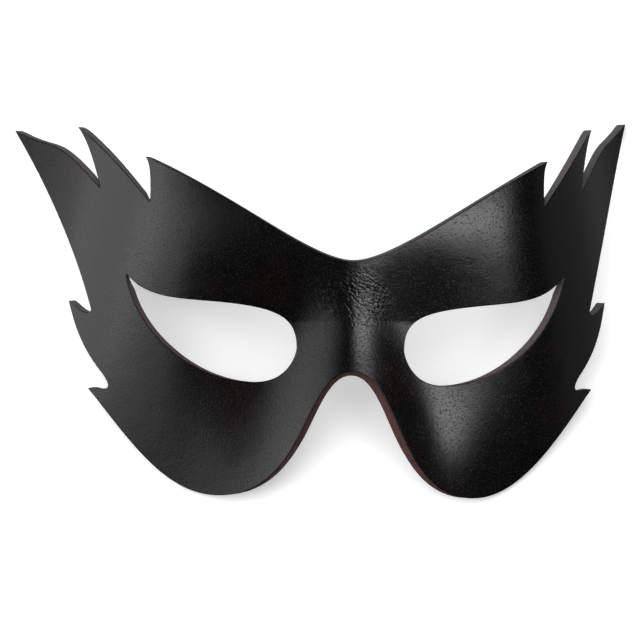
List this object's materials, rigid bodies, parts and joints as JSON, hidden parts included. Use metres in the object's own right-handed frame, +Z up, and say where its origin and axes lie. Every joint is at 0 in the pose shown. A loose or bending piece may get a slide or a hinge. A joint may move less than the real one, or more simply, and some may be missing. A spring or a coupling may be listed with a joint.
{
  "type": "moulded leather eye mask",
  "caption": "Half mask of thick moulded black leather with almond eye holes, a nose arch and flame-like points cut into its swept-back sides.",
  "frame": {"origin": "centre of the bounding box at the level of the surface that the mask lies on", "axes": "+X to the viewer's right across the face, +Y from the chin side to the forehead side, +Z up; the mask lies face up"},
  "size_m": [0.2196, 0.1402, 0.0497],
  "materials": {
    "black_leather": "satin black dyed grain, with raw cut edges, dark grey at the points and red-brown down the nose arch, and a dark fibrous back"
  },
  "bodies": {
    "root": {"leather_mask": "black_leather"}
  },
  "joints": []
}
